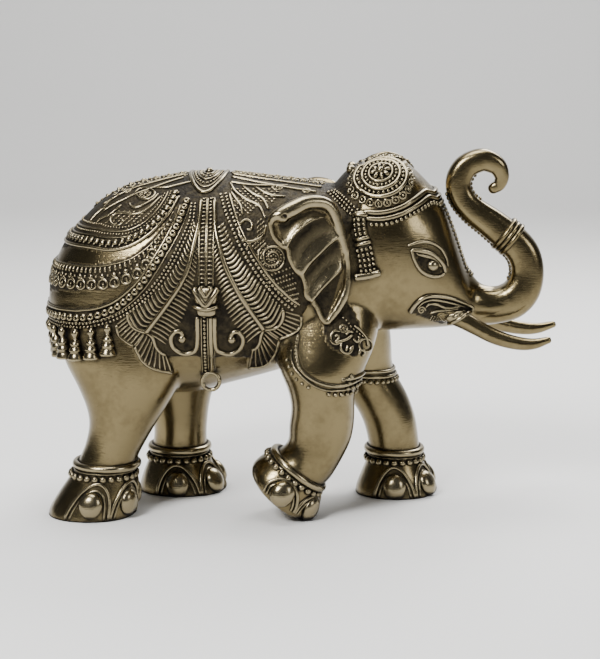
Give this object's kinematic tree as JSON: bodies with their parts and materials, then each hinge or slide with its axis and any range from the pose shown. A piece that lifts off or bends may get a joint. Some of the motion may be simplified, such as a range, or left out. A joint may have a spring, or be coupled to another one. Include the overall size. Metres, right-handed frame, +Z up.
{
  "type": "elephant statue",
  "caption": "Small cast brass elephant striding with its trunk raised in a curl, wearing a carved blanket with fan borders, tassels, headdress and ringed feet.",
  "frame": {"origin": "middle of the footprint of the whole statue, on the ground that its soles stand on", "axes": "+X the way the elephant faces, +Y its left side, +Z up"},
  "size_m": [0.2051, 0.0827, 0.1443],
  "materials": {
    "brass": "antique polished, dark patina in the recesses"
  },
  "bodies": {
    "root": {"elephant": "brass"}
  },
  "joints": []
}
